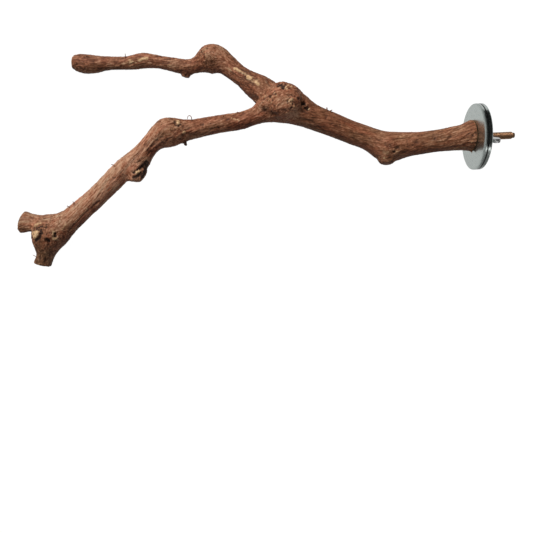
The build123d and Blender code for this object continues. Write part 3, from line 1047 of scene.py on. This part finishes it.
def worn_metal(name, colour, rough_low, rough_high, size, bump_depth):
    """A metal whose brightness, roughness and height carry the shared wear."""
    material, tree, shader = new_material(name, Metallic=1.0)
    wear = add(tree, "ShaderNodeGroup", {}, node_tree=plate_wear)
    tree.links.new(own_place(tree), wear.inputs["Place"])
    wear.inputs["Size"].default_value = size
    toned = blend(tree, wear.outputs["Tone"], (*(DULLED * c for c in colour), 1), (*colour, 1))
    tree.links.new(toned, shader.inputs["Base Color"])
    roughness = mapped(tree, wear.outputs["Roughness"], 0, 1, rough_low, rough_high)
    tree.links.new(roughness, shader.inputs["Roughness"])
    dents = {"Height": wear.outputs["Height"], "Strength": 0.4, "Distance": bump_depth * MM}
    bump = add(tree, "ShaderNodeBump", dents)
    tree.links.new(bump.outputs["Normal"], shader.inputs["Normal"])
    return material, tree, shader, toned


bronzed_steel, tree, shader, toned = worn_metal("bronzed_steel", (0.36, 0.205, 0.115), 0.4, 0.52, 2.0, 0.02)
# The colour is darker towards the thread roots and on the shank, and palest on the crests
darker_in_roots = blend(tree, mapped(tree, attribute(tree, "crest"), 0.0, 0.8), (0.2, 0.11, 0.06, 1), toned)
tree.links.new(darker_in_roots, shader.inputs["Base Color"])
bolt_mesh.materials.append(bronzed_steel)
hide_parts("hanger_bolt")
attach(bolt, "perch")

# Washers: two wide, thick steel discs with bright zinc plate, one against the wood and one pushed up
# to it by the nut. Each is blanked from sheet, so its rim rolls over, most on the side that faces out,
# and its hole is punched. The plate on them keeps their faces a hair apart.
washer_r = min(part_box("inner_washer")[1].yz) / MM
WASHER_SIDES = 180
WASHER_HOLE = 2.75
FACES_APART = 0.02
ROLL = 0.35
DIE_ROLL = 0.8
ROLL_STEPS = 8
PUNCHED = 0.15
HELD_FLAT = 0.08


def washer_side(face, inward, roll):
    """One side of a washer's section, from the hole out to the rim: along the stud, off it."""
    quarter = np.linspace(0, math.pi / 2, ROLL_STEPS)
    flat = [
        (face + inward * PUNCHED, WASHER_HOLE), (face, WASHER_HOLE + PUNCHED),
        (face, WASHER_HOLE + PUNCHED + HELD_FLAT), (face, washer_r - roll - HELD_FLAT),
    ]
    rolled = [
        (face + inward * roll * (1 - math.cos(a)), washer_r - roll * (1 - math.sin(a))) for a in quarter
    ]
    return [*flat, *rolled, (face + inward * (roll + HELD_FLAT), washer_r)]


def turned_ring(name, outline, sides):
    """A ring with the given section, turned round the stud's axis."""
    angles = np.arange(sides) * 2 * math.pi / sides
    ring_points = [
        (along * MM, off * math.cos(angle) * MM, off * math.sin(angle) * MM)
        for along, off in outline
        for angle in angles
    ]
    rows = len(outline)
    ring_faces = faces_round([(row, (row + 1) % rows) for row in range(rows)], sides)
    mesh = bpy.data.meshes.new(name)
    mesh.from_pydata(ring_points, [], ring_faces)
    shape = bmesh.new()
    shape.from_mesh(mesh)
    bmesh.ops.recalc_face_normals(shape, faces=shape.faces)
    shape.to_mesh(mesh)
    shape.free()
    mesh.shade_smooth()
    return linked(name, mesh)


# The faces are duller than the rims, the inner rim is dullest where it was sheared, and the rims are
# painted near black as shade along the seam between the two washers
RIM_DEPTH = 0.5
RIM_FADE = 0.4
RIM_ROUGH = (0.14, 0.24)
FACE_ROUGH = (0.24, 0.34)
SHEARED_ROUGH = (0.42, 0.52)
SHEARED_FROM = -1.2
SHEARED_TO = -1.5
SEAM_SHADE = (0.3, 0.55)
zinc_plate, tree, shader, toned = worn_metal("zinc_plate", (0.655, 0.71, 0.68), *RIM_ROUGH, 1.0, 0.012)
place = add(tree, "ShaderNodeSeparateXYZ", {0: own_place(tree)}).outputs
in_face = add(tree, "ShaderNodeCombineXYZ", {"Y": place["Y"], "Z": place["Z"]}).outputs[0]
from_axis = add(tree, "ShaderNodeVectorMath", {0: in_face}, operation="LENGTH").outputs["Value"]
on_face = mapped(tree, from_axis, washer_r - RIM_DEPTH, washer_r - RIM_DEPTH - RIM_FADE)
rim_rough = shader.inputs["Roughness"].links[0].from_socket
face_rough = mapped(tree, rim_rough, *RIM_ROUGH, *FACE_ROUGH)
sheared = mapped(tree, place["X"], SHEARED_FROM, SHEARED_TO)
sheared_rough = mapped(tree, rim_rough, *RIM_ROUGH, *SHEARED_ROUGH)
edge_rough = add(tree, "ShaderNodeMix", {0: sheared, 2: rim_rough, 3: sheared_rough}).outputs[0]
mixed_rough = add(tree, "ShaderNodeMix", {0: on_face, 2: edge_rough, 3: face_rough}).outputs[0]
tree.links.new(mixed_rough, shader.inputs["Roughness"])
# Painted shade: the rims are darkened near black along the seam between the two washers
off_seam = mapped(tree, maths(tree, "ABSOLUTE", place["X"]), *SEAM_SHADE)
outside_seam_shade = maths(tree, "MAXIMUM", off_seam, on_face)
tree.links.new(blend(tree, outside_seam_shade, (0.03, 0.03, 0.03, 1), toned), shader.inputs["Base Color"])
washers = []
for node in ("inner_washer", "outer_washer"):
    low, high = (corner.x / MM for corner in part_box(node))
    if node == "inner_washer":
        section = washer_side(low, 1, DIE_ROLL) + washer_side(high - FACES_APART / 2, -1, ROLL)[::-1]
    else:
        section = washer_side(low + FACES_APART / 2, 1, ROLL) + washer_side(high, -1, DIE_ROLL)[::-1]
    washer = turned_ring("plated_" + node, section, WASHER_SIDES)
    washer.data.materials.append(zinc_plate)
    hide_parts(node)
    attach(washer, node)
    washers.append(washer)

# Wing nut: one small bright casting, two wings on a tapered hub, tapped through. The CAD nut is
# remeshed so that its wings run into the hub in soft cast corners, and its bore is threaded.
NUT_QUAD = 0.2
NUT_CREASE_ROUNDS = 40
NUT_EVEN_ROUNDS = 8
NUT_CAST_SKIN = 0.05
TAPPED_R = 2.56
TAPPED_REACH = 3.1
nut = fine_copy("wing_nut", "cast_wing_nut", NUT_QUAD)
nut_pairs = edge_pairs(nut)
nut_points = places(nut)
nut_facing = put(nut, nut_points)
nut_off_axis = np.hypot(nut_points[:, 1], nut_points[:, 2])
cast = np.where(nut_off_axis < TAPPED_REACH, 0.0, 1.0)
for round_number in range(NUT_CREASE_ROUNDS):
    rise = ((averaged(nut_points, nut_pairs) - nut_points) * nut_facing).sum(1)
    nut_points += nut_facing * (np.clip(rise, 0, None) * cast)[:, None]
    if round_number % 10 == 9:
        nut_facing = put(nut, nut_points)
for _ in range(NUT_EVEN_ROUNDS):
    nut_points += (averaged(nut_points, nut_pairs) - nut_points) * 0.5 * cast[:, None]
nut_facing = put(nut, nut_points)
nut_points += nut_facing * (NUT_CAST_SKIN * field(nut_points, 1.4) * cast)[:, None]
nut_low, nut_high = (np.array(corner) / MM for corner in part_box("wing_nut"))
nut_points = np.clip(nut_points, nut_low, nut_high)
round_bore = np.arctan2(nut_points[:, 2], nut_points[:, 1])
turns = (nut_points[:, 0] / PITCH - round_bore / (2 * math.pi)) % 1
tapped = (nut_off_axis < TAPPED_REACH) & (np.abs(nut_facing[:, 0]) < 0.5)
grow = 1 + THREAD_DEPTH * np.abs(2 * turns - 1) / TAPPED_R
nut_points[tapped, 1:] *= grow[tapped, None]
put(nut, nut_points)
bright_casting = worn_metal("bright_casting", (0.74, 0.74, 0.73), 0.16, 0.36, 1.6, 0.03)[0]
nut.data.materials.append(bright_casting)
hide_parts("wing_nut")
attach(nut, "wing_nut")

# Floor, light and camera: a pale shooting table that glows white to the camera and, as painted light
# in place of being lit, grey in reflections, with a painted shadow beside the washers, one wide soft
# light from the fork's upper side, and the photograph's view straight down.
# The table is clear from below, so that it hides no side of the perch.
FLOOR_GAP = 0.2 * MM
FLOOR_SIZE = 6.0
LIGHT_FROM = Vector((-0.36, 0.6, 0.71))
LIGHT_SPREAD = 22.0
LIGHT_STRENGTH = 3.76
CURTAIN_GLOW = 0.012
GAP_GLOW = 2.4
PANE_GLOW = 1.15
floor_mesh = bpy.data.meshes.new("floor")
floor_shape = bmesh.new()
bmesh.ops.create_grid(floor_shape, x_segments=1, y_segments=1, size=FLOOR_SIZE / 2)
floor_shape.to_mesh(floor_mesh)
floor_shape.free()
floor = linked("floor", floor_mesh)
floor.location.z = cad_box[0].z - FLOOR_GAP
floor_paint, tree, shader = new_material(
    "floor_paint", Base_Color=(0.02, 0.02, 0.02, 1), Roughness=0.9, Emission_Strength=1.0
)
spot = add(tree, "ShaderNodeSeparateXYZ", {0: own_place(tree)}).outputs
# Painted shadow: the table's glow in reflections is darker beside the washers, where the wood's shadow
# would lie
floor_shadow_patch = maths(tree, "MULTIPLY", mapped(tree, spot["X"], 0, 20), mapped(tree, spot["Y"], -10, -35))
shaded = ramp(tree, floor_shadow_patch, [(0.0, (0.58, 0.58, 0.58)), (1.0, (0.12, 0.12, 0.12))])
seen = add(tree, "ShaderNodeLightPath", {}).outputs["Is Camera Ray"]
tree.links.new(blend(tree, seen, shaded, (1, 1, 1, 1)), shader.inputs["Emission Color"])
from_below = add(tree, "ShaderNodeNewGeometry", {}).outputs["Backfacing"]
clear = add(tree, "ShaderNodeBsdfTransparent", {}).outputs["BSDF"]
one_sided = add(tree, "ShaderNodeMixShader", {0: from_below, 1: shader.outputs["BSDF"], 2: clear})
tree.links.new(one_sided.outputs[0], tree.nodes["Material Output"].inputs["Surface"])
floor_mesh.materials.append(floor_paint)
floor.visible_diffuse = False

window = linked("window", bpy.data.lights.new("window", "SUN"))
window.data.energy = LIGHT_STRENGTH
window.data.angle = math.radians(LIGHT_SPREAD)
window.rotation_euler = (-LIGHT_FROM).to_track_quat("-Z", "Y").to_euler()
plated = bpy.data.collections.new("plated")
for piece in (*washers, nut):
    plated.objects.link(piece)
for entry in plated.collection_objects:
    entry.light_linking.link_state = "EXCLUDE"
window.light_linking.receiver_collection = plated

# The room round the table is pale, dimmer towards the near side and low down. A dark curtain
# hangs over the right-hand side, and a bright gap beside it draws a line on polished metal. The
# plated pieces mirror the window as a soft, tall pane instead, so that it doesn't burn out on them.
world = bpy.data.worlds.new("studio")
world.use_nodes = True
tree = world.node_tree
outward = add(tree, "ShaderNodeTexCoord", {}).outputs["Generated"]
way = add(tree, "ShaderNodeSeparateXYZ", {0: outward}).outputs
lean = maths(tree, "MULTIPLY_ADD", way["Y"], 0.25, way["Z"])
glow = ramp(tree, mapped(tree, lean, -0.5, 1.0), [(0.0, (0.1, 0.1, 0.1)), (1.0, (0.4, 0.4, 0.4))])


def between(tree, value, low, high, edge=0.03):
    """1 where a value lies between two limits, with soft edges."""
    above = mapped(tree, value, low - edge, low + edge)
    below = mapped(tree, value, high + edge, high - edge)
    return maths(tree, "MULTIPLY", above, below)


right_side = between(tree, way["X"], 0.14, 0.72, 0.08)
curtain = maths(tree, "MULTIPLY", right_side, between(tree, way["Y"], -0.71, 0.96))
gap = maths(tree, "MULTIPLY", right_side, between(tree, way["Y"], -0.79, -0.74))
pane = maths(tree, "MULTIPLY", between(tree, way["X"], -0.46, -0.3), between(tree, way["Y"], -0.6, 0.7))
pane = maths(tree, "MULTIPLY", pane, mapped(tree, way["Z"], 0.1, 0.3))
for patch_of_room, brightness in ((curtain, CURTAIN_GLOW), (gap, GAP_GLOW), (pane, PANE_GLOW)):
    glow = blend(tree, patch_of_room, glow, (brightness, brightness, brightness, 1))
seen = add(tree, "ShaderNodeLightPath", {}).outputs["Is Camera Ray"]
glow = blend(tree, seen, glow, (1, 1, 1, 1))
tree.links.new(glow, tree.nodes["Background"].inputs["Color"])
bpy.context.scene.world = world

camera = linked("camera", bpy.data.cameras.new("camera"))
camera.location = CAMERA_PLACE * MM
camera.rotation_euler.z = CAMERA_ROLL
camera.data.sensor_width = CAMERA_SENSOR
camera.data.lens = CAMERA_LENS
camera.data.clip_start = 0.01
bpy.context.scene.camera = camera
bpy.context.scene.view_settings.view_transform = "Standard"
